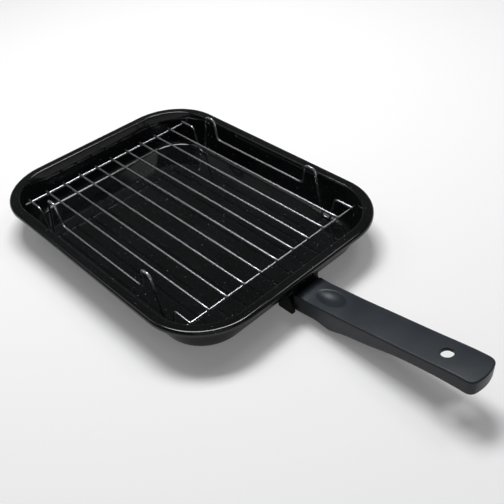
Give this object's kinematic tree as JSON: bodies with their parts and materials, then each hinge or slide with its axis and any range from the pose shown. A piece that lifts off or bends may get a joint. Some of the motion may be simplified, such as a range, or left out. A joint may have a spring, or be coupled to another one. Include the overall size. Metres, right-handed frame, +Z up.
{
  "type": "grill pan",
  "caption": "Rectangular enamelled grill pan with a bent-wire rack standing inside it and a moulded handle hooked on a keeper under the rim.",
  "frame": {"origin": "middle of the dish underside, where the pan stands", "axes": "+Z up, +Y away from the handle along the length, +X across the width"},
  "size_m": [0.3, 0.5895, 0.0647],
  "materials": {
    "black_enamel": "glossy black vitreous enamel with fine pale specks",
    "chrome_wire": "bright chromium plate",
    "black_plastic": "satin heat-resistant moulding",
    "black_steel": "black enamelled steel, low gloss",
    "plated_steel": "zinc-plated",
    "brass_insert": "plain turned brass"
  },
  "bodies": {
    "pan": {"pan_dish": "black_enamel", "keeper_bracket": "black_steel", "keeper_pin": "black_steel"},
    "rack": {"left_leg_wire": "chrome_wire", "right_leg_wire": "chrome_wire", "front_crossbar": "chrome_wire", "rear_crossbar": "chrome_wire", "grid_wire_1": "chrome_wire", "grid_wire_2": "chrome_wire", "grid_wire_3": "chrome_wire", "grid_wire_4": "chrome_wire", "grid_wire_5": "chrome_wire", "grid_wire_6": "chrome_wire", "grid_wire_7": "chrome_wire", "grid_wire_8": "chrome_wire", "grid_wire_9": "chrome_wire"},
    "handle": {"handle_grip": "black_plastic", "handle_claw": "black_steel", "left_claw_screw": "plated_steel", "right_claw_screw": "plated_steel", "left_claw_insert": "brass_insert", "right_claw_insert": "brass_insert"}
  },
  "joints": [
    {"name": "rack_lift", "type": "slide", "parent": "pan", "child": "rack", "axis": [0, 0, 1], "range_m": [0, 0.08]},
    {"name": "handle_tilt", "type": "hinge", "parent": "pan", "child": "handle", "pos_m": [0, -0.1864, 0.034], "axis": [-1, 0, 0], "range_deg": [0, 40]}
  ]
}
